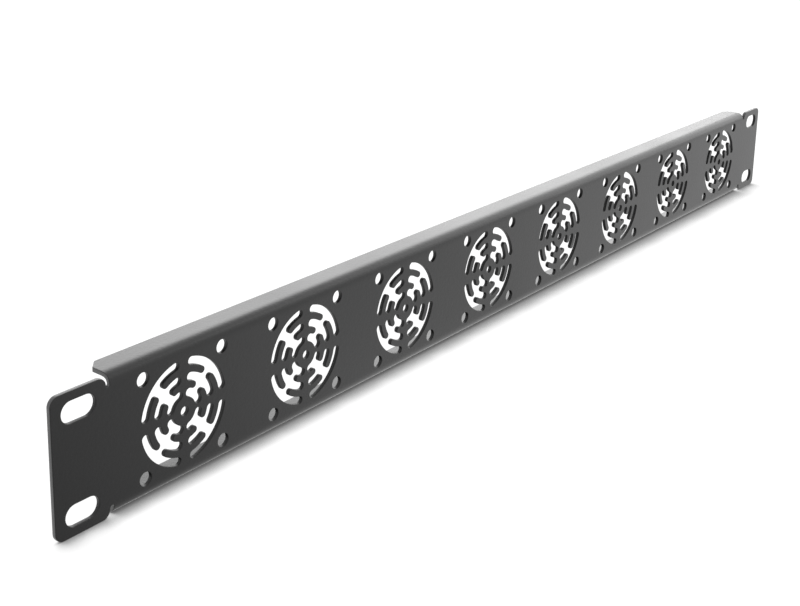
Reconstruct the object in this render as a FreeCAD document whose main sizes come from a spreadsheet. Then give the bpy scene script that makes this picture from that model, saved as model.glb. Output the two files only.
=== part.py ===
import FreeCAD, Part
import math
import os

import Sketcher

# Rack fan panel, one rack unit high: one sheet of steel, punched in the flat and folded.
# X runs along the panel, Y from the front of the rack to its rear, and Z up.
# The origin is the middle of the four ear slots, on the rear face of the ears, which seats on the rack.

document = FreeCAD.newDocument("rack_fan_panel")

# Driving dimensions, in millimetres apart from the count
DIMENSIONS = (
    # The sheet and its two folds
    ("sheet_thickness", 1.5),
    ("bend_inner_radius", 1.0),
    ("panel_height", 44.4),
    ("flange_depth", 11.0),
    ("flange_corner_chamfer", 3.2),
    # The row of fans, and what is left of the flanges past the last fan
    ("fan_count", 8),
    ("fan_pitch", 55.2),
    ("fan_row_rise", 0.3),
    ("flange_end_margin", 28.1),
    # The ears, and the relief that parts them from the flanges
    ("relief_width", 1.4),
    ("relief_depth", 3.6),
    ("ear_width", 19.55),
    ("ear_outer_radius", 3.0),
    ("ear_slot_length", 12.0),
    ("ear_slot_width", 6.8),
    ("ear_slot_to_edge", 9.7),
    ("ear_slot_spacing", 31.75),
    # The screw holes of one 40 mm fan
    ("fan_hole_spacing", 32.0),
    ("fan_hole_diameter", 4.5),
    # The grille of one fan
    ("hub_diameter", 9.2),
    ("hub_hole_diameter", 3.0),
    ("ring_slot_width", 2.65),
    ("ring_bar_width", 2.35),
    ("rib_width_at_hub", 1.2),
    ("rib_width_at_rim", 4.2),
    ("channel_width", 3.0),
)

sizes = document.addObject("Spreadsheet::Sheet", "sizes")
for row, (alias, number) in enumerate(DIMENSIONS, start=1):
    sizes.set(f"A{row}", alias)
    sizes.set(f"B{row}", str(number))
    sizes.setAlias(f"B{row}", alias)
document.recompute()

# Places that follow from the driving dimensions
BEND_OUTER_RADIUS = "(sizes.bend_inner_radius + sizes.sheet_thickness)"
HALF_HEIGHT = "(sizes.panel_height / 2)"
BEND_LINE = f"({HALF_HEIGHT} - {BEND_OUTER_RADIUS})"
FLANGE_REAR = "(sizes.flange_depth - sizes.sheet_thickness)"
FIRST_FAN = "((sizes.fan_count - 1) / 2 * sizes.fan_pitch)"
FLANGE_END = f"({FIRST_FAN} + sizes.flange_end_margin)"
EAR_INNER = f"({FLANGE_END} + sizes.relief_width)"
EAR_OUTER = f"({EAR_INNER} + sizes.ear_width)"
RELIEF_ROUND = "(sizes.relief_width / 2)"
EAR_INNER_RADIUS = f"(sizes.relief_depth - {RELIEF_ROUND})"
RELIEF_LEVEL = f"({HALF_HEIGHT} - {EAR_INNER_RADIUS})"
EAR_SLOT_ROUND = "(sizes.ear_slot_width / 2)"
EAR_SLOT_REACH = "(sizes.ear_slot_length / 2 - sizes.ear_slot_width / 2)"
EAR_SLOT_X = f"({EAR_OUTER} - sizes.ear_slot_to_edge)"
# Where the side of the diagonal channel meets the middle of a rib
CHANNEL_FOOT = "(sizes.channel_width / sqrt(2))"

# How a sketch numbers the ends of an edge and an arc's centre, its own origin and its axes
START, END, CENTRE = range(1, 4)
ORIGIN = (-1, 1)
LEVEL_AXIS, UPRIGHT_AXIS = -1, -2

# A grille's ring slots, and the angles that share it out, in degrees
RING_COUNT = 3
OUTER_RING = RING_COUNT - 1
QUARTER_TURN = 90
DIAGONAL = QUARTER_TURN / 2


def worth(expression):
    """The number that an expression of the sheet's sizes comes to."""
    return float(sizes.evalExpression(expression))


def origin_feature(body, role):
    """One of the body's own planes or axes."""
    return next(feature for feature in body.Origin.OriginFeatures if feature.Role == role)


def new_sketch(body, name, role):
    """A sketch on one of the body's own planes."""
    sketch = body.newObject("Sketcher::SketchObject", name)
    sketch.AttachmentSupport = (origin_feature(body, role), [""])
    sketch.MapMode = "FlatFace"
    return sketch


def add_line(sketch, start, end):
    """A straight edge between two points, each a pair of numbers."""
    return sketch.addGeometry(Part.LineSegment(FreeCAD.Vector(*start, 0), FreeCAD.Vector(*end, 0)))


def add_arc(sketch, centre, radius, start, end):
    """An arc that turns left from its start to its end, both in degrees."""
    circle = Part.Circle(FreeCAD.Vector(*centre, 0), FreeCAD.Vector(0, 0, 1), radius)
    return sketch.addGeometry(Part.ArcOfCircle(circle, math.radians(start), math.radians(end)))


def tie(sketch, kind, *places):
    """A constraint without a size."""
    sketch.addConstraint(Sketcher.Constraint(kind, *places))


def bind(sketch, name, kind, places, expression):
    """A constraint whose size is an expression of the sheet's sizes."""
    index = sketch.addConstraint(Sketcher.Constraint(kind, *places, worth(expression)))
    sketch.renameConstraint(index, name)
    sketch.setExpression(f"Constraints.{name}", expression)


def pad(body, name, sketch, length, side):
    """Material as deep as an expression says, on one side of the sketch or half on each."""
    feature = body.newObject("PartDesign::Pad", name)
    feature.Profile = sketch
    feature.SideType = side
    feature.setExpression("Length", length)
    return feature


def pocket_through(body, name, sketch):
    """A cut through the whole part, to both sides of the sketch."""
    feature = body.newObject("PartDesign::Pocket", name)
    feature.Profile = sketch
    feature.SideType = "Symmetric"
    feature.Type = "ThroughAll"
    return feature


def mirrored(body, name, role, feature=None):
    """A mirror in one of the body's own planes, of a feature or as a step of a longer pattern."""
    mirror = body.newObject("PartDesign::Mirrored", name)
    mirror.MirrorPlane = (origin_feature(body, role), [""])
    if feature:
        mirror.Originals = [feature]
        body.Tip = mirror
    return mirror


def patterned(body, name, feature, steps):
    """The same feature again by several mirrors or patterns, one after the other."""
    pattern = body.newObject("PartDesign::MultiTransform", name)
    pattern.Originals = [feature]
    pattern.Transformations = steps
    body.Tip = pattern


def in_four_corners(body, name, feature):
    """The same feature in all four corners of the panel."""
    across = mirrored(body, f"{name}_left", "YZ_Plane")
    down = mirrored(body, f"{name}_lower", "XY_Plane")
    patterned(body, name, feature, [across, down])


def along_the_fans(body, name, feature=None):
    """A row along the panel with one copy for each fan, of a feature or as a step of a pattern."""
    row = body.newObject("PartDesign::LinearPattern", name)
    row.Direction = (origin_feature(body, "X_Axis"), [""])
    row.Mode = "Spacing"
    row.setExpression("Offset", "sizes.fan_pitch")
    row.setExpression("Occurrences", "sizes.fan_count")
    if feature:
        row.Originals = [feature]
        body.Tip = row
    return row


def add_web(body):
    """The flat front between the two folds, as long as the flanges."""
    sketch = new_sketch(body, "web_outline", "XZ_Plane")
    end = worth(FLANGE_END)
    level = worth(BEND_LINE)
    corners = [(-end, -level), (end, -level), (end, level), (-end, level)]
    edges = [add_line(sketch, corners[i], corners[(i + 1) % 4]) for i in range(4)]
    for i in range(4):
        tie(sketch, "Coincident", edges[i], END, edges[(i + 1) % 4], START)
    for i in (0, 2):
        tie(sketch, "Horizontal", edges[i])
        tie(sketch, "Vertical", edges[i + 1])
    tie(sketch, "Symmetric", edges[0], START, edges[2], START, *ORIGIN)
    bind(sketch, "half_length", "DistanceX", (*ORIGIN, edges[1], END), FLANGE_END)
    bind(sketch, "bend_line", "DistanceY", (*ORIGIN, edges[1], END), BEND_LINE)
    pad(body, "web", sketch, "sizes.sheet_thickness", "One side")


def add_flanges(body):
    """The upper fold and its flange as one profile along the panel, then the lower ones."""
    sketch = new_sketch(body, "flange_profile", "YZ_Plane")
    inner = worth("sizes.bend_inner_radius")
    outer = worth(BEND_OUTER_RADIUS)
    centre = (inner, worth(BEND_LINE))
    rear = worth(FLANGE_REAR)
    top = worth(HALF_HEIGHT)
    inner_bend = add_arc(sketch, centre, inner, 90, 180)
    outer_bend = add_arc(sketch, centre, outer, 90, 180)
    seam = add_line(sketch, (0, centre[1]), (inner - outer, centre[1]))
    upper_face = add_line(sketch, (inner, top), (rear, top))
    rear_edge = add_line(sketch, (rear, top), (rear, top - outer + inner))
    lower_face = add_line(sketch, (rear, top - outer + inner), (inner, top - outer + inner))
    tie(sketch, "Coincident", inner_bend, CENTRE, outer_bend, CENTRE)
    tie(sketch, "Coincident", inner_bend, END, seam, START)
    tie(sketch, "Coincident", seam, END, outer_bend, END)
    tie(sketch, "Horizontal", inner_bend, CENTRE, seam, START)
    tie(sketch, "Horizontal", seam)
    tie(sketch, "Tangent", outer_bend, START, upper_face, START)
    tie(sketch, "Coincident", upper_face, END, rear_edge, START)
    tie(sketch, "Coincident", rear_edge, END, lower_face, START)
    tie(sketch, "Tangent", lower_face, END, inner_bend, START)
    tie(sketch, "Horizontal", upper_face)
    tie(sketch, "Horizontal", lower_face)
    tie(sketch, "Vertical", rear_edge)
    bind(sketch, "inner_radius", "Radius", (inner_bend,), "sizes.bend_inner_radius")
    bind(sketch, "outer_radius", "Radius", (outer_bend,), BEND_OUTER_RADIUS)
    bind(sketch, "bend_y", "DistanceX", (*ORIGIN, inner_bend, CENTRE), "sizes.bend_inner_radius")
    bind(sketch, "bend_z", "DistanceY", (*ORIGIN, inner_bend, CENTRE), BEND_LINE)
    bind(sketch, "rear", "DistanceX", (*ORIGIN, rear_edge, START), FLANGE_REAR)
    upper = pad(body, "upper_flange", sketch, f"2 * {FLANGE_END}", "Symmetric")
    mirrored(body, "lower_flange", "XY_Plane", upper)


def add_flange_chamfers(body):
    """The rear corners of both flanges, cut off at 45 degrees."""
    sketch = new_sketch(body, "flange_corner", "XY_Plane")
    end = worth(FLANGE_END)
    rear = worth(FLANGE_REAR)
    chamfer = worth("sizes.flange_corner_chamfer")
    end_edge = add_line(sketch, (end, rear - chamfer), (end, rear))
    rear_edge = add_line(sketch, (end, rear), (end - chamfer, rear))
    slope = add_line(sketch, (end - chamfer, rear), (end, rear - chamfer))
    tie(sketch, "Coincident", end_edge, END, rear_edge, START)
    tie(sketch, "Coincident", rear_edge, END, slope, START)
    tie(sketch, "Coincident", slope, END, end_edge, START)
    tie(sketch, "Vertical", end_edge)
    tie(sketch, "Horizontal", rear_edge)
    tie(sketch, "Equal", end_edge, rear_edge)
    bind(sketch, "flange_end", "DistanceX", (*ORIGIN, end_edge, END), FLANGE_END)
    bind(sketch, "flange_rear", "DistanceY", (*ORIGIN, end_edge, END), FLANGE_REAR)
    bind(sketch, "chamfer", "Distance", (end_edge,), "sizes.flange_corner_chamfer")
    corners = pocket_through(body, "right_corner_chamfers", sketch)
    mirrored(body, "left_corner_chamfers", "YZ_Plane", corners)


def add_ears(body):
    """The flat ears past the flanges. Round-bottomed reliefs run up into the ears' inner corners."""
    sketch = new_sketch(body, "ear_outline", "XZ_Plane")
    seam_x = worth(FLANGE_END)
    inner_x = worth(EAR_INNER)
    outer_x = worth(EAR_OUTER)
    top = worth(HALF_HEIGHT)
    level = worth(RELIEF_LEVEL)
    relief_round = worth(RELIEF_ROUND)
    inner_round = worth(EAR_INNER_RADIUS)
    outer_round = worth("sizes.ear_outer_radius")
    inner_centre = (inner_x + inner_round, level)
    outer_centre = (outer_x - outer_round, top - outer_round)
    seam = add_line(sketch, (seam_x, 0), (seam_x, level))
    relief = add_arc(sketch, (seam_x + relief_round, level), relief_round, 180, 360)
    inner_corner = add_arc(sketch, inner_centre, inner_round, 90, 180)
    top_edge = add_line(sketch, (inner_centre[0], top), (outer_centre[0], top))
    outer_corner = add_arc(sketch, outer_centre, outer_round, 0, 90)
    outer_edge = add_line(sketch, (outer_x, outer_centre[1]), (outer_x, 0))
    middle = add_line(sketch, (outer_x, 0), (seam_x, 0))
    tie(sketch, "Coincident", seam, END, relief, START)
    tie(sketch, "Horizontal", relief, CENTRE, relief, START)
    tie(sketch, "Coincident", relief, END, inner_corner, END)
    tie(sketch, "Horizontal", relief, CENTRE, inner_corner, CENTRE)
    tie(sketch, "Horizontal", relief, CENTRE, relief, END)
    tie(sketch, "Tangent", inner_corner, START, top_edge, START)
    tie(sketch, "Tangent", top_edge, END, outer_corner, END)
    tie(sketch, "Tangent", outer_corner, START, outer_edge, START)
    tie(sketch, "Coincident", outer_edge, END, middle, START)
    tie(sketch, "Coincident", middle, END, seam, START)
    tie(sketch, "Vertical", seam)
    tie(sketch, "Horizontal", top_edge)
    tie(sketch, "Vertical", outer_edge)
    tie(sketch, "Horizontal", middle)
    bind(sketch, "relief_round", "Radius", (relief,), RELIEF_ROUND)
    bind(sketch, "outer_round", "Radius", (outer_corner,), "sizes.ear_outer_radius")
    bind(sketch, "seam_x", "DistanceX", (*ORIGIN, seam, END), FLANGE_END)
    bind(sketch, "relief_level", "DistanceY", (*ORIGIN, seam, END), RELIEF_LEVEL)
    bind(sketch, "outer_x", "DistanceX", (*ORIGIN, outer_edge, END), EAR_OUTER)
    bind(sketch, "top", "DistanceY", (*ORIGIN, top_edge, START), HALF_HEIGHT)
    tie(sketch, "PointOnObject", middle, END, LEVEL_AXIS)
    quarter = pad(body, "ear_quarter", sketch, "sizes.sheet_thickness", "One side")
    in_four_corners(body, "ears", quarter)


def add_ear_slots(body):
    """The four oblong slots that take the rack's screws, with some room to shift the panel sideways."""
    sketch = new_sketch(body, "ear_slot", "XZ_Plane")
    x = worth(EAR_SLOT_X)
    z = worth("sizes.ear_slot_spacing / 2")
    reach = worth(EAR_SLOT_REACH)
    radius = worth(EAR_SLOT_ROUND)
    outer_end = add_arc(sketch, (x + reach, z), radius, -90, 90)
    inner_end = add_arc(sketch, (x - reach, z), radius, 90, 270)
    upper_side = add_line(sketch, (x + reach, z + radius), (x - reach, z + radius))
    lower_side = add_line(sketch, (x - reach, z - radius), (x + reach, z - radius))
    tie(sketch, "Tangent", outer_end, END, upper_side, START)
    tie(sketch, "Tangent", upper_side, END, inner_end, START)
    tie(sketch, "Tangent", inner_end, END, lower_side, START)
    tie(sketch, "Tangent", lower_side, END, outer_end, START)
    tie(sketch, "Horizontal", upper_side)
    tie(sketch, "Equal", outer_end, inner_end)
    bind(sketch, "radius", "Radius", (outer_end,), EAR_SLOT_ROUND)
    bind(sketch, "outer_x", "DistanceX", (*ORIGIN, outer_end, CENTRE), f"{EAR_SLOT_X} + {EAR_SLOT_REACH}")
    bind(sketch, "inner_x", "DistanceX", (*ORIGIN, inner_end, CENTRE), f"{EAR_SLOT_X} - {EAR_SLOT_REACH}")
    bind(sketch, "z", "DistanceY", (*ORIGIN, outer_end, CENTRE), "sizes.ear_slot_spacing / 2")
    slot = pocket_through(body, "ear_slot_cut", sketch)
    in_four_corners(body, "ear_slots", slot)


def new_fan_sketch(body, name):
    """A sketch on the panel's face whose origin is the middle of the first fan."""
    sketch = new_sketch(body, name, "XZ_Plane")
    sketch.setExpression(".AttachmentOffset.Base.x", f"-{FIRST_FAN}")
    sketch.setExpression(".AttachmentOffset.Base.y", "sizes.fan_row_rise")
    return sketch


def add_fan_holes(body):
    """Four screw holes in a square for each fan, and the small hole in the middle of its hub."""
    sketch = new_fan_sketch(body, "fan_holes")
    reach = worth("sizes.fan_hole_spacing / 2")
    radius = worth("sizes.fan_hole_diameter / 2")
    upward = FreeCAD.Vector(0, 0, 1)
    hub = sketch.addGeometry(Part.Circle(FreeCAD.Vector(), upward, worth("sizes.hub_hole_diameter / 2")))
    tie(sketch, "Coincident", hub, CENTRE, *ORIGIN)
    bind(sketch, "hub_hole", "Diameter", (hub,), "sizes.hub_hole_diameter")
    places = [(reach, reach), (-reach, reach), (-reach, -reach), (reach, -reach)]
    holes = [sketch.addGeometry(Part.Circle(FreeCAD.Vector(*place, 0), upward, radius)) for place in places]
    bind(sketch, "screw_hole", "Diameter", (holes[0],), "sizes.fan_hole_diameter")
    bind(sketch, "reach", "DistanceX", (*ORIGIN, holes[0], CENTRE), "sizes.fan_hole_spacing / 2")
    bind(sketch, "rise", "DistanceY", (*ORIGIN, holes[0], CENTRE), "sizes.fan_hole_spacing / 2")
    for hole in holes[1:]:
        tie(sketch, "Equal", holes[0], hole)
    tie(sketch, "Symmetric", holes[0], CENTRE, holes[1], CENTRE, UPRIGHT_AXIS)
    tie(sketch, "Symmetric", holes[0], CENTRE, holes[2], CENTRE, *ORIGIN)
    tie(sketch, "Symmetric", holes[1], CENTRE, holes[3], CENTRE, *ORIGIN)
    holes_of_one = pocket_through(body, "fan_hole_cut", sketch)
    along_the_fans(body, "fan_hole_row", holes_of_one)


def ring_inner(ring):
    """The inner radius of one of the ring slots, counted from the hub."""
    return f"(sizes.hub_diameter / 2 + {ring} * (sizes.ring_slot_width + sizes.ring_bar_width))"


def ring_outer(ring):
    """The outer radius of one of the ring slots."""
    return f"({ring_inner(ring)} + sizes.ring_slot_width)"


def add_guide(sketch, start, end):
    """A construction line that the ends of slots and fingers lie on."""
    guide = add_line(sketch, start, end)
    sketch.toggleConstruction(guide)
    return guide


def add_grille(body):
    """A quarter of one fan's grille as a single cut-out, turned round its hub and along the row.

    The ring slots run from rib to rib, and the ribs widen from the hub to the rim.
    A straight channel joins the slots along the diagonal, and its sides are
    the tips of the fingers that the ribs hold between the slots.
    """
    sketch = new_fan_sketch(body, "grille_quarter")
    hub_radius = worth(ring_inner(0))
    rim_radius = worth(ring_outer(OUTER_RING))
    hub_half_rib = worth("sizes.rib_width_at_hub / 2")
    rim_half_rib = worth("sizes.rib_width_at_rim / 2")
    channel_foot = worth(CHANNEL_FOOT)

    def along(guide, radius):
        """Where a guide, as a pair of points, crosses a circle round the hub's middle."""
        (x0, y0), (x1, y1) = guide
        length = math.hypot(x1 - x0, y1 - y0)
        step_x = (x1 - x0) / length
        step_y = (y1 - y0) / length
        half = x0 * step_x + y0 * step_y
        travel = math.sqrt(half**2 - x0**2 - y0**2 + radius**2) - half
        return math.degrees(math.atan2(y0 + travel * step_y, x0 + travel * step_x))

    # The half of the quarter beside the level rib, then its mirror image beside the upright rib
    rib_line = ((hub_radius, hub_half_rib), (rim_radius, rim_half_rib))
    channel_line = ((channel_foot, 0), (channel_foot + rim_radius, rim_radius))
    level_rib = add_guide(sketch, *rib_line)
    upright_rib = add_guide(sketch, *((y, x) for x, y in rib_line))
    right_side = add_guide(sketch, *channel_line)
    left_side = add_guide(sketch, *((y, x) for x, y in channel_line))
    for name, guide, across, along_axis in (
        ("level", level_rib, "DistanceY", "DistanceX"),
        ("upright", upright_rib, "DistanceX", "DistanceY"),
    ):
        bind(sketch, f"{name}_rib_at_hub", across, (*ORIGIN, guide, START), "sizes.rib_width_at_hub / 2")
        bind(sketch, f"{name}_rib_hub", along_axis, (*ORIGIN, guide, START), ring_inner(0))
        bind(sketch, f"{name}_rib_at_rim", across, (*ORIGIN, guide, END), "sizes.rib_width_at_rim / 2")
        bind(sketch, f"{name}_rib_rim", along_axis, (*ORIGIN, guide, END), ring_outer(OUTER_RING))
    tie(sketch, "PointOnObject", right_side, START, LEVEL_AXIS)
    tie(sketch, "PointOnObject", left_side, START, UPRIGHT_AXIS)
    for name, guide, axis in (("right", right_side, "DistanceX"), ("left", left_side, "DistanceY")):
        bind(sketch, f"channel_{name}", axis, (*ORIGIN, guide, START), CHANNEL_FOOT)
        sketch.addConstraint(Sketcher.Constraint("Angle", guide, math.radians(DIAGONAL)))
        bind(sketch, f"channel_{name}_length", "Distance", (guide,), ring_outer(OUTER_RING))

    def ring_arc(name, radius, first_guide, first, last_guide, last):
        """An arc round the hub's middle from one guide to the next, its angles in degrees."""
        arc = add_arc(sketch, (0, 0), worth(radius), first, last)
        tie(sketch, "Coincident", arc, CENTRE, *ORIGIN)
        tie(sketch, "PointOnObject", arc, START, first_guide)
        tie(sketch, "PointOnObject", arc, END, last_guide)
        bind(sketch, name, "Radius", (arc,), radius)
        return arc

    def straight_end(first, first_end, last, last_end):
        """The straight end of a slot or of a finger, between two arcs."""
        places = [sketch.getPoint(first, first_end), sketch.getPoint(last, last_end)]
        edge = add_line(sketch, *((place.x, place.y) for place in places))
        tie(sketch, "Coincident", edge, START, first, first_end)
        tie(sketch, "Coincident", edge, END, last, last_end)

    rim_end = along(rib_line, rim_radius)
    hub_end = along(rib_line, hub_radius)
    rim = ring_arc("rim", ring_outer(OUTER_RING), level_rib, rim_end, upright_rib, QUARTER_TURN - rim_end)
    hub = ring_arc("hub", ring_inner(0), level_rib, hub_end, upright_rib, QUARTER_TURN - hub_end)
    level_arc = upright_arc = rim
    for ring in range(OUTER_RING, 0, -1):
        for radius, kind in ((ring_inner(ring), "inner"), (ring_outer(ring - 1), "outer")):
            rib_end = along(rib_line, worth(radius))
            tip_end = along(channel_line, worth(radius))
            name = f"ring_{ring if kind == 'inner' else ring - 1}_{kind}"
            level = ring_arc(f"level_{name}", radius, level_rib, rib_end, right_side, tip_end)
            ends = (QUARTER_TURN - tip_end, QUARTER_TURN - rib_end)
            upright = ring_arc(f"upright_{name}", radius, left_side, ends[0], upright_rib, ends[1])
            # A slot ends at the rib, and the next finger inwards ends at the channel
            level_end, upright_end = (START, END) if kind == "inner" else (END, START)
            straight_end(level_arc, level_end, level, level_end)
            straight_end(upright_arc, upright_end, upright, upright_end)
            level_arc = level
            upright_arc = upright
    straight_end(level_arc, START, hub, START)
    straight_end(upright_arc, END, hub, END)
    quarter = pocket_through(body, "grille_quarter_cut", sketch)
    turns = body.newObject("PartDesign::PolarPattern", "grille_quarters")
    turns.Axis = (sketch, ["N_Axis"])
    turns.Angle = 360
    turns.Occurrences = 4
    row = along_the_fans(body, "grille_row")
    patterned(body, "grilles", quarter, [turns, row])


def build_panel():
    """The whole panel as one body."""
    body = document.addObject("PartDesign::Body", "fan_panel")
    body.Label = "fan_panel"
    add_web(body)
    add_flanges(body)
    add_flange_chamfers(body)
    add_ears(body)
    add_ear_slots(body)
    add_fan_holes(body)
    add_grille(body)
    return body


def check_and_write(bodies):
    """Stops on anything that failed, then writes each body to a file of its own."""
    document.recompute()
    for item in document.Objects:
        if "Invalid" in item.State or "Error" in item.State:
            raise RuntimeError(f"{item.Name} failed: {item.State}")
    os.makedirs("parts", exist_ok=True)
    for body in bodies:
        shape = body.Shape
        if shape.isNull() or not shape.isValid():
            raise RuntimeError(f"{body.Label} has no valid shape")
        shape.exportStep(os.path.join("parts", f"{body.Label}.step"))
        print(f"{body.Label}: {len(shape.Solids)} solid, {shape.Volume / 1000:.2f} cm3, {shape.BoundBox}")


check_and_write([build_panel()])
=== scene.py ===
import math

import bmesh
import bpy
from mathutils import Matrix, Vector


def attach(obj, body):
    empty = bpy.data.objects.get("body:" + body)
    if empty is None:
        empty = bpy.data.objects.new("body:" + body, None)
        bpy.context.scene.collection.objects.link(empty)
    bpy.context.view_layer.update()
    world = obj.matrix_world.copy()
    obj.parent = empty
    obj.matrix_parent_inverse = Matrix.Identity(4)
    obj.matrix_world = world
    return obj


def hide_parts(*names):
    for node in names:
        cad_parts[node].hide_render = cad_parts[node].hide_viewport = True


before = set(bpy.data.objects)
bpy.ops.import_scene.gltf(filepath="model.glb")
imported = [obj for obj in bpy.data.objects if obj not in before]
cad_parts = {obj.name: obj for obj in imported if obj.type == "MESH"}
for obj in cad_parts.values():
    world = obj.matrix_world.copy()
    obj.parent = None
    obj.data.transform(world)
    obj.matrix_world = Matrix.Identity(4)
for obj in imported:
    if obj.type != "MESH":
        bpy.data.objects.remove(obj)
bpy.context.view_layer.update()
scene = bpy.context.scene
scene.view_settings.view_transform = "Standard"

# The fan panel is one steel sheet, 1.5 mm thick, for one unit of a 19-inch rack.
# The flat blank is cut out, punched with eight fan grilles, their screw holes and four ear slots,
# and then its upper and lower edges are folded back into flanges. All its cut edges are eased.

MM = 0.001
SHEET = 1.5 * MM
CUT_EDGE = 0.2 * MM
CUT_EDGE_MARGIN = 0.15 * MM
CHORD_ERROR = 0.01 * MM
SAME_PLACE = CHORD_ERROR / 10

PANEL_HALF_HEIGHT = 22.2 * MM
BEND_INNER = 1.0 * MM
BEND_OUTER = BEND_INNER + SHEET
FLANGE_REAR = 9.5 * MM
FOLD_SHOULDER = 3.0 * MM
FOLD_START = PANEL_HALF_HEIGHT - BEND_OUTER - FOLD_SHOULDER
FOLD_END = BEND_INNER + FOLD_SHOULDER
FOLD_SOFTNESS = 3
FOLD_STEPS = 28


def fold_turn(share):
    """How far the sheet has turned, in radians, at a share of the way through its fold."""
    turned = math.pi / 4 * (2 * min(share, 1 - share)) ** FOLD_SOFTNESS
    return turned if share <= 0.5 else math.pi / 2 - turned


# The middle of the sheet through a fold, back and up: a press brake leaves a tight nose with soft shoulders
fold_turns = [fold_turn(i / FOLD_STEPS) for i in range(FOLD_STEPS + 1)]
headings = [(a + b) / 2 for a, b in zip(fold_turns, fold_turns[1:])]
FOLD_REACH = PANEL_HALF_HEIGHT - SHEET / 2 - FOLD_START
FOLD_STEP = FOLD_REACH / sum(math.cos(heading) for heading in headings)
FOLD_RUN = FOLD_STEP * FOLD_STEPS
fold_path = [Vector((-SHEET / 2, FOLD_START))]
for heading in headings:
    fold_path.append(fold_path[-1] + Vector((math.sin(heading), math.cos(heading))) * FOLD_STEP)
BLANK_HALF_HEIGHT = FOLD_START + FOLD_RUN + FLANGE_REAR - FOLD_END

FLANGE_CHAMFER = 3.2 * MM
FLANGE_CORNER = 0.6 * MM

FANS = 8
FAN_PITCH = 55.2 * MM
FAN_ROW_RISE = 0.3 * MM
LAST_FAN_TO_FLANGE_END = 28.1 * MM
FLANGE_END = (FANS - 1) / 2 * FAN_PITCH + LAST_FAN_TO_FLANGE_END
RELIEF_WIDTH = 1.4 * MM
RELIEF_DEPTH = 3.6 * MM
EAR_LENGTH = 19.55 * MM
EAR_INNER = FLANGE_END + RELIEF_WIDTH
EAR_OUTER = EAR_INNER + EAR_LENGTH
EAR_OUTER_CORNER = 3.0 * MM
EAR_INNER_CORNER = RELIEF_DEPTH - RELIEF_WIDTH / 2

EAR_SLOT_LENGTH = 12.0 * MM
EAR_SLOT_WIDTH = 6.8 * MM
EAR_SLOT_TO_EDGE = 9.7 * MM
EAR_SLOTS_ACROSS = 2 * (EAR_OUTER - EAR_SLOT_TO_EDGE)
EAR_SLOTS_APART = 31.75 * MM

SCREW_HOLES_APART = 32.0 * MM
SCREW_HOLE = 4.5 * MM
SCREW_HOLE_SIDES = 36
HUB_HOLE = 3.0 * MM
HUB_HOLE_SIDES = 28
HUB = 9.2 * MM
QUARTERS = 4
RINGS = 3
RING_SLOT = 2.65 * MM
RING_BAR = 2.35 * MM
RIB_AT_HUB = 1.2 * MM
RIB_AT_RIM = 4.2 * MM
CHANNEL = 3.0 * MM


def arc(centre, radius, start, turn):
    """Points along an arc, its angles in radians, as fine as the chord error asks."""
    step = 2 * math.acos(1 - CHORD_ERROR / radius)
    count = max(2, math.ceil(abs(turn) / step))
    angles = [start + turn * i / count for i in range(count + 1)]
    return [Vector((centre[0] + radius * math.cos(a), centre[1] + radius * math.sin(a))) for a in angles]


def rounded(corners):
    """A closed path round corners, each an x, a y and a radius, with an arc at each."""
    path = []
    for i, (x, y, radius) in enumerate(corners):
        corner = Vector((x, y))
        before = (Vector(corners[i - 1][:2]) - corner).normalized()
        after = (Vector(corners[(i + 1) % len(corners)][:2]) - corner).normalized()
        half = before.angle(after) / 2
        centre = corner + (before + after).normalized() * radius / math.sin(half)
        start = corner + before * radius / math.tan(half) - centre
        end = corner + after * radius / math.tan(half) - centre
        turn = math.atan2(start.x * end.y - start.y * end.x, start.dot(end))
        path += arc(centre, radius, math.atan2(start.y, start.x), turn)
    return path


def draw(name, path, closed=True):
    """A path as an object of edges alone, without the points that repeat the one before."""
    points = [p for i, p in enumerate(path) if (p - path[i - 1]).length > SAME_PLACE]
    edges = [(i, i + 1) for i in range(len(points) - 1)]
    if closed:
        edges.append((len(points) - 1, 0))
    mesh = bpy.data.meshes.new(name)
    mesh.from_pydata([(p.x, p.y, 0) for p in points], edges, [])
    drawing = bpy.data.objects.new(name, mesh)
    scene.collection.objects.link(drawing)
    return drawing


# Material lies to the right of each path, so the blank's outline turns right and a hole's turns left
upper_right = [
    (FLANGE_END - FLANGE_CHAMFER, BLANK_HALF_HEIGHT, FLANGE_CORNER),
    (FLANGE_END, BLANK_HALF_HEIGHT - FLANGE_CHAMFER, FLANGE_CORNER),
    (FLANGE_END, PANEL_HALF_HEIGHT - RELIEF_DEPTH, RELIEF_WIDTH / 2),
    (EAR_INNER, PANEL_HALF_HEIGHT - RELIEF_DEPTH, RELIEF_WIDTH / 2),
    (EAR_INNER, PANEL_HALF_HEIGHT, EAR_INNER_CORNER),
    (EAR_OUTER, PANEL_HALF_HEIGHT, EAR_OUTER_CORNER),
]
lower_right = [(x, -y, radius) for x, y, radius in reversed(upper_right)]
right = upper_right + lower_right
left = [(-x, -y, radius) for x, y, radius in right]
blank = draw("fan_panel_sheet", rounded(right + left))

slot_x = EAR_SLOT_LENGTH / 2
slot_y = EAR_SLOT_WIDTH / 2
slot_corners = [(slot_x, -slot_y), (slot_x, slot_y), (-slot_x, slot_y), (-slot_x, -slot_y)]
slot_die = draw("slot_die", rounded([(x, y, slot_y) for x, y in slot_corners]))

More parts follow.
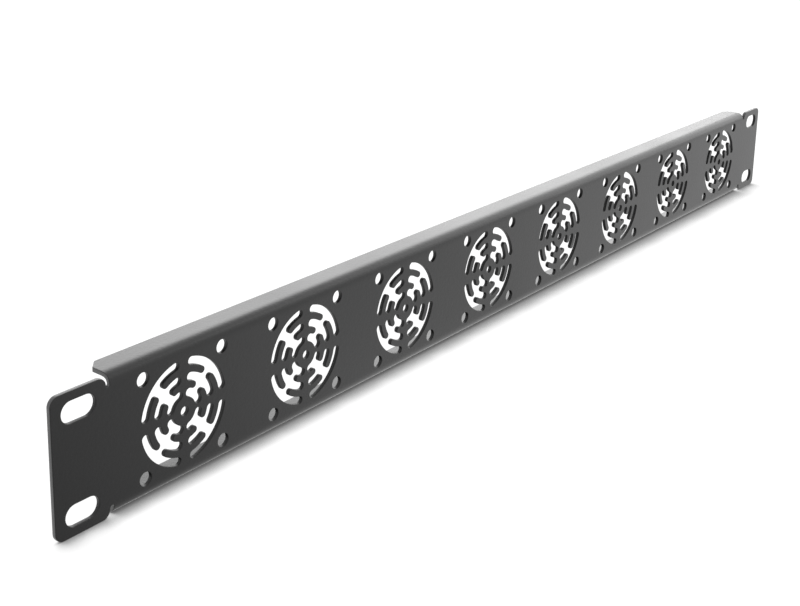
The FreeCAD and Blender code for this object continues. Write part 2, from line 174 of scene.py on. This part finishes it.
# Half of a grille's quarter, from the diagonal at the rim to the diagonal at the hub.
# Ring slots and fingers both end in full rounds, at the widening rib and at the diagonal channel.
diagonal = math.pi / 4
hub_radius = HUB / 2
rim_radius = hub_radius + RINGS * RING_SLOT + (RINGS - 1) * RING_BAR
rib_lean = math.atan((RIB_AT_RIM - RIB_AT_HUB) / 2 / (rim_radius - hub_radius))
rib_foot = (RIB_AT_HUB / 2 - hub_radius * math.tan(rib_lean)) * math.cos(rib_lean)
grille_half = []
tip_angle = diagonal
for ring in reversed(range(RINGS)):
    inner = hub_radius + ring * (RING_SLOT + RING_BAR)
    middle = inner + RING_SLOT / 2
    slot_end = math.pi / 2 - rib_lean - math.asin((RING_SLOT / 2 + rib_foot) / middle)
    end_centre = Vector((math.cos(slot_end), math.sin(slot_end))) * middle
    grille_half += arc((0, 0), inner + RING_SLOT, tip_angle, slot_end - tip_angle)
    grille_half += arc(end_centre, RING_SLOT / 2, slot_end, math.pi)
    if ring:
        middle = inner - RING_BAR / 2
        tip_angle = diagonal + math.asin((CHANNEL + RING_BAR) / 2 / middle)
        tip_centre = Vector((math.cos(tip_angle), math.sin(tip_angle))) * middle
        grille_half += arc((0, 0), inner, slot_end, tip_angle - slot_end)
        grille_half += arc(tip_centre, RING_BAR / 2, tip_angle, -math.pi)
    else:
        grille_half += arc((0, 0), inner, slot_end, diagonal - slot_end)
grille_die = draw("grille_die", grille_half + [p.yx for p in reversed(grille_half)])

# The section of a cut edge, from the front face over the eased corner and down the wall to the rear face
eased = arc((CUT_EDGE, CUT_EDGE), CUT_EDGE, -math.pi / 2, -math.pi / 2)
edge_front = [Vector((CUT_EDGE + CUT_EDGE_MARGIN, 0)), *eased]
edge_rear = [Vector((p.x, SHEET - p.y)) for p in reversed(edge_front)]
edge_section = draw("edge_section", edge_front + edge_rear, closed=False)

# The powder coat is a thin satin black film, baked on over the whole panel once it is folded.
# It flows into a faint orange peel, and a finer grain of the powder stays on top of that.
# Handling and stacking have polished it a little in cloudy patches.
PEEL_PER_METRE = 900
GRAIN_PER_METRE = 4200
PATCHES_PER_METRE = 26
PEEL_HEIGHT = 0.00003
GRAIN_HEIGHT = 0.000009
NOISE_LOW = 0.3
NOISE_HIGH = 0.7
BLUE_CAST = 1.02


def place_node(tree, kind, feeds=None, **settings):
    """A node of a tree. Each input that feeds names, or numbers, takes a value or another node's output."""
    node = tree.nodes.new(kind)
    for setting, choice in settings.items():
        setattr(node, setting, choice)
    for socket, feed in (feeds or {}).items():
        if isinstance(feed, bpy.types.NodeSocket):
            tree.links.new(feed, node.inputs[socket])
        else:
            node.inputs[socket].default_value = feed
    return node


def grey(level):
    """A nearly neutral grey, a trace bluer than it is red."""
    return (level, level, level * BLUE_CAST, 1)


def noise(tree, place, per_metre, detail):
    """A noise through the coat, with so many waves to the metre."""
    waves = {"Vector": place, "Scale": per_metre, "Detail": detail}
    return place_node(tree, "ShaderNodeTexNoise", waves).outputs["Fac"]


def spread(tree, waves, low, high):
    """The middle of a noise's range, spread out from low to high."""
    middle_range = {"Value": waves, "From Min": NOISE_LOW, "From Max": NOISE_HIGH}
    return place_node(tree, "ShaderNodeMapRange", {**middle_range, "To Min": low, "To Max": high}).outputs[0]


def powder_coat(name, darkest, lightest, glossiest, dullest, ior, film):
    """The black coat as a material, with a film of clear binder on top of it, from 0, none, to 1."""
    coat = bpy.data.materials.new(name)
    coat.use_nodes = True
    tree = coat.node_tree
    tree.nodes.clear()
    place = place_node(tree, "ShaderNodeTexCoord").outputs["Object"]
    peel = noise(tree, place, PEEL_PER_METRE, 2)
    grain = noise(tree, place, GRAIN_PER_METRE, 1)
    patches = noise(tree, place, PATCHES_PER_METRE, 4)
    shades = {6: grey(darkest), 7: grey(lightest)}
    tint = place_node(tree, "ShaderNodeMix", {0: spread(tree, grain, 0, 1), **shades}, data_type="RGBA")
    peel_feeds = {"Height": peel, "Distance": PEEL_HEIGHT, "Strength": 1}
    peel_bump = place_node(tree, "ShaderNodeBump", peel_feeds).outputs["Normal"]
    grain_feeds = {"Height": grain, "Distance": GRAIN_HEIGHT, "Strength": 1}
    bump = place_node(tree, "ShaderNodeBump", {**grain_feeds, "Normal": peel_bump}).outputs["Normal"]
    shader = place_node(
        tree,
        "ShaderNodeBsdfPrincipled",
        {
            "Base Color": tint.outputs[2],
            "Roughness": spread(tree, patches, glossiest, dullest),
            "IOR": ior,
            "Coat Weight": film,
            "Coat IOR": ior,
            "Coat Roughness": (glossiest + dullest) / 2,
            "Normal": bump,
            "Coat Normal": bump,
        },
    )
    place_node(tree, "ShaderNodeOutputMaterial", {"Surface": shader.outputs["BSDF"]})
    return coat


face_coat = powder_coat(
    "powder_coat_black", darkest=0.0085, lightest=0.0125, glossiest=0.31, dullest=0.38, ior=1.34, film=0.8
)
# The outline's cut edges get a lighter grey copy of the coat: painted light, standing in for the light that
# catches the sheet's end faces.
edge_coat_painted_light = powder_coat(
    "powder_coat_cut_edge_painted_light", darkest=0.03, lightest=0.045, glossiest=0.38, dullest=0.5, ior=1.5, film=0.8
)
# The walls of the punched holes get a darker copy of the coat without its clear film: painted shade inside
# the holes.
wall_coat_painted_shade = powder_coat(
    "powder_coat_punched_wall_painted_shade", darkest=0.005, lightest=0.009, glossiest=0.35, dullest=0.45, ior=1.4, film=0
)

punching = bpy.data.node_groups.new("punch_the_blank", "GeometryNodeTree")
punching.interface.new_socket(name="Geometry", in_out="OUTPUT", socket_type="NodeSocketGeometry")
punch_sizes = {
    "Geometry": ("Geometry", None),
    "Grille die": ("Object", grille_die),
    "Slot die": ("Object", slot_die),
    "Edge section": ("Object", edge_section),
    "Fans": ("Int", FANS),
    "Fan pitch": ("Float", FAN_PITCH),
    "Fan row rise": ("Float", FAN_ROW_RISE),
    "Screw holes apart": ("Float", SCREW_HOLES_APART),
    "Screw hole radius": ("Float", SCREW_HOLE / 2),
    "Hub hole radius": ("Float", HUB_HOLE / 2),
    "Ear slots across": ("Float", EAR_SLOTS_ACROSS),
    "Ear slots apart": ("Float", EAR_SLOTS_APART),
    "Edge inset": ("Float", CUT_EDGE + CUT_EDGE_MARGIN),
    "Sheet thickness": ("Float", SHEET),
    "Face finish": ("Material", face_coat),
    "Cut edge painted light": ("Material", edge_coat_painted_light),
    "Punched wall painted shade": ("Material", wall_coat_painted_shade),
}
press_settings = {}
for name, (kind, setting) in punch_sizes.items():
    socket = punching.interface.new_socket(name=name, in_out="INPUT", socket_type=f"NodeSocket{kind}")
    if setting is not None:
        press_settings[socket.identifier] = setting
given = place_node(punching, "NodeGroupInput").outputs


def punch(kind, feeds=None, **settings):
    """A node of the punching tree, by its first output."""
    return place_node(punching, kind, feeds, **settings).outputs[0]


def number(operation, first, second):
    """Arithmetic on two numbers in the punching tree."""
    return punch("ShaderNodeMath", {0: first, 1: second}, operation=operation)


def path_of(drawing):
    """The path that a drawing object holds."""
    shape = place_node(punching, "GeometryNodeObjectInfo", {"Object": given[drawing]}).outputs["Geometry"]
    return punch("GeometryNodeMeshToCurve", {0: shape})


def circle(sides, radius):
    """A round hole's path, its radius by the name of the tree's input."""
    return punch("GeometryNodeCurvePrimitiveCircle", {"Resolution": sides, "Radius": given[radius]})


def four_places(across, apart):
    """The corners of a rectangle, its sides by the names of the tree's inputs."""
    sides = {"Size X": given[across], "Size Y": given[apart]}
    return punch("GeometryNodeMeshGrid", {**sides, "Vertices X": 2, "Vertices Y": 2})


def at_points(points, shape, turn=(0, 0, 0)):
    """A copy of a shape at each of some points."""
    return punch("GeometryNodeInstanceOnPoints", {"Points": points, "Instance": shape, "Rotation": turn})


def together(*shapes):
    """Several shapes as one."""
    join = punching.nodes.new("GeometryNodeJoinGeometry")
    for shape in reversed(shapes):
        punching.links.new(shape, join.inputs[0])
    return join.outputs[0]


def cut_along(path, finish):
    """The eased wall that a cut leaves along a path, in a coat whose grey paints light or shade on it."""
    upright = punch("GeometryNodeSetCurveNormal", {"Curve": path}, mode="Z_UP")
    wall = punch("GeometryNodeCurveToMesh", {"Curve": upright, "Profile Curve": path_of("Edge section")})
    return punch("GeometryNodeSetMaterial", {0: wall, 2: given[finish]})


quarter_turn = number("MULTIPLY", punch("GeometryNodeInputIndex"), 2 * math.pi / QUARTERS)
grille = at_points(
    punch("GeometryNodePoints", {"Count": QUARTERS}),
    path_of("Grille die"),
    punch("ShaderNodeCombineXYZ", {"Z": quarter_turn}),
)
screw_hole = circle(SCREW_HOLE_SIDES, "Screw hole radius")
screw_holes = at_points(four_places("Screw holes apart", "Screw holes apart"), screw_hole)
hub_hole = circle(HUB_HOLE_SIDES, "Hub hole radius")
row_reach = number("MULTIPLY", number("SUBTRACT", given["Fans"], 1), given["Fan pitch"])
row_start = {"X": number("MULTIPLY", row_reach, -0.5), "Y": given["Fan row rise"]}
fan_places = punch(
    "GeometryNodeMeshLine",
    {
        "Count": given["Fans"],
        "Start Location": punch("ShaderNodeCombineXYZ", row_start),
        "Offset": punch("ShaderNodeCombineXYZ", {"X": given["Fan pitch"]}),
    },
)
ear_slots = at_points(four_places("Ear slots across", "Ear slots apart"), path_of("Slot die"))
outline = punch("GeometryNodeMeshToCurve", {0: given["Geometry"]})
holes = punch(
    "GeometryNodeRealizeInstances",
    {0: together(at_points(fan_places, together(grille, screw_holes, hub_hole)), ear_slots)},
)
along_path = punch("GeometryNodeInputTangent")
rightwards = punch("ShaderNodeVectorMath", {0: along_path, 1: (0, 0, 1)}, operation="CROSS_PRODUCT")
inwards = punch("ShaderNodeVectorMath", {0: rightwards, "Scale": given["Edge inset"]}, operation="SCALE")
inset = punch("GeometryNodeSetPosition", {0: together(outline, holes), "Offset": inwards})
front = punch("GeometryNodeFillCurve", {"Curve": inset})
downwards = punch("ShaderNodeCombineXYZ", {"Z": number("MULTIPLY", given["Sheet thickness"], -1)})
rear = punch("GeometryNodeTransform", {0: front, "Translation": downwards})
# The outline's cut edges take the lighter coat, which is painted light.
cut_edges = cut_along(outline, "Cut edge painted light")
# The punched walls take the darker coat, which is painted shade.
punched_walls = cut_along(holes, "Punched wall painted shade")
all_faces = together(front, rear, cut_edges, punched_walls)
sheet = punch("GeometryNodeMergeByDistance", {0: all_faces, "Distance": SAME_PLACE})
sheet = punch("GeometryNodeRealizeInstances", {0: sheet})
LIES_FLAT = 0.6
upwards = place_node(punching, "ShaderNodeSeparateXYZ", {0: punch("GeometryNodeInputNormal")}).outputs["Z"]
lies_flat = number("GREATER_THAN", number("ABSOLUTE", upwards, 0), LIES_FLAT)
sheet = punch("GeometryNodeSetMaterial", {0: sheet, 1: lies_flat, 2: given["Face finish"]})
place_node(punching, "NodeGroupOutput", {0: sheet})

press = blank.modifiers.new("punching", "NODES")
press.node_group = punching
for identifier, setting in press_settings.items():
    press[identifier] = setting
punched = bpy.data.meshes.new_from_object(blank.evaluated_get(bpy.context.evaluated_depsgraph_get()))
blank.modifiers.remove(press)
blank.data = punched
for die in (grille_die, slot_die, edge_section):
    bpy.data.objects.remove(die)

# The folds: creases across both of them first, with one just outside each end to keep the flats flat
FOLD_PARTING = (FLANGE_END + EAR_INNER) / 2
crease_levels = [FOLD_START + FOLD_STEP * i for i in range(FOLD_STEPS + 1)]
crease_levels += [FOLD_START - CUT_EDGE_MARGIN, FOLD_START + FOLD_RUN + CUT_EDGE_MARGIN]
folding = bmesh.new()
folding.from_mesh(punched)
for level in crease_levels:
    for side in (-1, 1):
        reached = {
            part
            for f in folding.faces
            if abs(f.calc_center_median().x) < FOLD_PARTING and max(side * v.co.y for v in f.verts) > level
            for part in (f, *f.edges, *f.verts)
        }
        bmesh.ops.bisect_plane(
            folding, geom=list(reached), dist=SAME_PLACE, plane_co=(0, side * level, 0), plane_no=(0, 1, 0)
        )
for corner in folding.verts:
    along, up, depth = corner.co.x, abs(corner.co.y), -corner.co.z
    side = math.copysign(1, corner.co.y)
    run = up - FOLD_START
    if run <= 0 or abs(along) > FOLD_PARTING:
        corner.co = (along, depth - SHEET, side * up)
        continue
    share = min(run / FOLD_STEP, FOLD_STEPS)
    crease = min(int(share), FOLD_STEPS - 1)
    share -= crease
    middle = fold_path[crease].lerp(fold_path[crease + 1], share)
    turned = fold_turns[crease] * (1 - share) + fold_turns[crease + 1] * share
    out = Vector((-math.cos(turned), math.sin(turned))) * (SHEET / 2 - depth)
    corner.co = (along, middle.x + out.x + max(run - FOLD_RUN, 0), side * (middle.y + out.y))
bmesh.ops.recalc_face_normals(folding, faces=folding.faces)
for face in folding.faces:
    face.smooth = True
folding.to_mesh(punched)
folding.free()
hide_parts("fan_panel")
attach(blank, "root")

# The panel stands on its lower flange on a white studio floor that runs out of the picture.
# The camera sees a soft shadow on it. In the coat's gloss the floor is as white as the room,
# but for a stretch in front of the panel's left end, which dims away from the light.

FLOOR_REACH = 6
FLOOR_GREY = (0.8, 0.8, 0.8, 1)
FLOOR_GREY_SEEN = (0.2, 0.2, 0.2, 1)
FLOOR_LEVEL = 0.95
SHADOW_REACH_EAR = 0.0125
SHADOW_REACH_LEFT = 0.0069
SHADOW_REACH_RIGHT = 0.0129
SHADOW_LEAN = (0.2, 0.6, 0.8)
SHADOW_SAMPLES = 16
SHADOW_DEEPEST = 0.1
SHADOW_LEVEL = 0.07
DIM_START = -0.1
DIM_END = -EAR_OUTER
DIM_LEVEL = 0.5
floor_mesh = bpy.data.meshes.new("floor")
floor_corners = [(-1, -1), (1, -1), (1, 1), (-1, 1)]
floor_points = [(x * FLOOR_REACH, y * FLOOR_REACH, -PANEL_HALF_HEIGHT) for x, y in floor_corners]
floor_mesh.from_pydata(floor_points, [], [(0, 1, 2, 3)])
floor = bpy.data.objects.new("floor", floor_mesh)
scene.collection.objects.link(floor)

studio_white = bpy.data.materials.new("studio_floor")
studio_white.use_nodes = True
floor_tree = studio_white.node_tree
floor_tree.nodes.clear()
floor_rays = place_node(floor_tree, "ShaderNodeLightPath").outputs
floor_place = place_node(floor_tree, "ShaderNodeTexCoord").outputs["Object"]
on_floor = place_node(floor_tree, "ShaderNodeSeparateXYZ", {0: floor_place}).outputs


def highest(tree, first, second):
    """The higher of two numbers in a material's tree."""
    return place_node(tree, "ShaderNodeMath", {0: first, 1: second}, operation="MAXIMUM").outputs[0]


def from_to(start, end, at_start, at_end):
    """A number on the floor that changes evenly from one place along the panel to another."""
    places = {"Value": on_floor["X"], "From Min": start, "From Max": end}
    numbers = {"To Min": at_start, "To Max": at_end}
    return place_node(floor_tree, "ShaderNodeMapRange", {**places, **numbers}).outputs[0]


panel_shadow_reach = from_to(-EAR_OUTER, EAR_OUTER, SHADOW_REACH_LEFT, SHADOW_REACH_RIGHT)
ear_shadow_reach = from_to(-EAR_OUTER, -FLANGE_END, SHADOW_REACH_EAR, SHADOW_REACH_LEFT)
shadow_reach = highest(floor_tree, panel_shadow_reach, ear_shadow_reach)
shadow_lean = place_node(floor_tree, "ShaderNodeCombineXYZ", dict(zip("XYZ", SHADOW_LEAN))).outputs[0]
openness = place_node(
    floor_tree,
    "ShaderNodeAmbientOcclusion",
    {"Distance": shadow_reach, "Normal": shadow_lean},
    samples=SHADOW_SAMPLES,
)
shadow_depth = {"Value": openness.outputs["AO"], "From Min": SHADOW_DEEPEST}
shadow_levels = {"To Min": SHADOW_LEVEL, "To Max": FLOOR_LEVEL}
shadow = place_node(
    floor_tree, "ShaderNodeMapRange", {**shadow_depth, **shadow_levels}, interpolation_type="SMOOTHSTEP"
)
seen_by_lamps = place_node(floor_tree, "ShaderNodeBsdfDiffuse", {"Color": FLOOR_GREY_SEEN})
seen_shadow = place_node(floor_tree, "ShaderNodeEmission", {"Strength": shadow.outputs[0]})
seen = place_node(floor_tree, "ShaderNodeAddShader", {0: seen_by_lamps.outputs[0], 1: seen_shadow.outputs[0]})
unseen = place_node(floor_tree, "ShaderNodeBsdfDiffuse", {"Color": FLOOR_GREY})
in_light = place_node(
    floor_tree,
    "ShaderNodeMixShader",
    {0: floor_rays["Is Camera Ray"], 1: unseen.outputs[0], 2: seen.outputs[0]},
)
in_front = from_to(DIM_END, DIM_START, DIM_LEVEL, 1)
behind = place_node(floor_tree, "ShaderNodeMath", {0: on_floor["Y"], 1: 0}, operation="GREATER_THAN")
white_level = highest(floor_tree, in_front, behind.outputs[0])
in_gloss = place_node(floor_tree, "ShaderNodeEmission", {"Strength": white_level})
reflected = highest(floor_tree, floor_rays["Is Glossy Ray"], floor_rays["Is Transmission Ray"])
floor_look = place_node(
    floor_tree, "ShaderNodeMixShader", {0: reflected, 1: in_light.outputs[0], 2: in_gloss.outputs[0]}
)
place_node(floor_tree, "ShaderNodeOutputMaterial", {"Surface": floor_look.outputs[0]})
floor_mesh.materials.append(studio_white)

# Light comes from the white room all round and from two broad soft boxes above the panel's right end.
# The one behind pales the upper flange, and the one to the right fades that down over the fold.

ROOM_LIGHT = 0.8
room = bpy.data.worlds.new("white_room")
room.use_nodes = True
room_tree = room.node_tree
room_tree.nodes.clear()
room_rays = place_node(room_tree, "ShaderNodeLightPath").outputs
room_reflected = highest(room_tree, room_rays["Is Glossy Ray"], room_rays["Is Transmission Ray"])
room_shown = highest(room_tree, room_rays["Is Camera Ray"], room_reflected)
room_levels = {"Value": room_shown, "To Min": ROOM_LIGHT, "To Max": 1}
room_level = place_node(room_tree, "ShaderNodeMapRange", room_levels)
white_light = {"Color": (1, 1, 1, 1), "Strength": room_level.outputs[0]}
room_glow = place_node(room_tree, "ShaderNodeBackground", white_light)
place_node(room_tree, "ShaderNodeOutputWorld", {"Surface": room_glow.outputs[0]})
scene.world = room


def add_soft_box(name, place, width, height, power):
    """A rectangular studio lamp at a place, turned to face the panel's middle. The camera doesn't see it."""
    lamp = bpy.data.lights.new(name, "AREA")
    lamp.shape = "RECTANGLE"
    lamp.size = width
    lamp.size_y = height
    lamp.energy = power
    box = bpy.data.objects.new(name, lamp)
    box.location = place
    box.rotation_mode = "QUATERNION"
    box.rotation_quaternion = (-Vector(place)).to_track_quat("-Z", "Y")
    box.visible_camera = False
    scene.collection.objects.link(box)


add_soft_box("soft_box_behind", place=(1.0, 1.12, 0.6), width=1.8, height=0.9, power=9.7)
add_soft_box("soft_box_right", place=(1.67, -0.36, 0.75), width=1.8, height=1.5, power=9.4)

# The camera stands to the left of the panel and a little above it, as for the photograph.
# Its lens is shifted upright, as the photograph's framing asks.

CAMERA_AZIMUTH = math.radians(-52.418)
CAMERA_ELEVATION = math.radians(13.802)
CAMERA_ROLL = math.radians(1.246)
CAMERA_AIM = Vector((-0.086794, 0, 0.070088))
CAMERA_DISTANCE = 0.455566
LENS_IN_PIXELS = 1276.865
LENS_SHIFT = -0.22
PICTURE_WIDTH = 800
camera_data = bpy.data.cameras.new("camera")
camera_data.sensor_width = 36
camera_data.lens = camera_data.sensor_width * LENS_IN_PIXELS / PICTURE_WIDTH
camera_data.shift_y = LENS_SHIFT
camera_data.clip_start = 0.01
camera_data.clip_end = 30
camera = bpy.data.objects.new("camera", camera_data)
scene.collection.objects.link(camera)
level_part = math.cos(CAMERA_ELEVATION)
away_x = math.sin(CAMERA_AZIMUTH) * level_part
away_y = -math.cos(CAMERA_AZIMUTH) * level_part
away = Vector((away_x, away_y, math.sin(CAMERA_ELEVATION)))
standing = Matrix.Translation(CAMERA_AIM + away * CAMERA_DISTANCE)
facing = (-away).to_track_quat("-Z", "Y").to_matrix().to_4x4()
camera.matrix_world = standing @ facing @ Matrix.Rotation(CAMERA_ROLL, 4, "Z")
scene.camera = camera

bpy.context.view_layer.update()
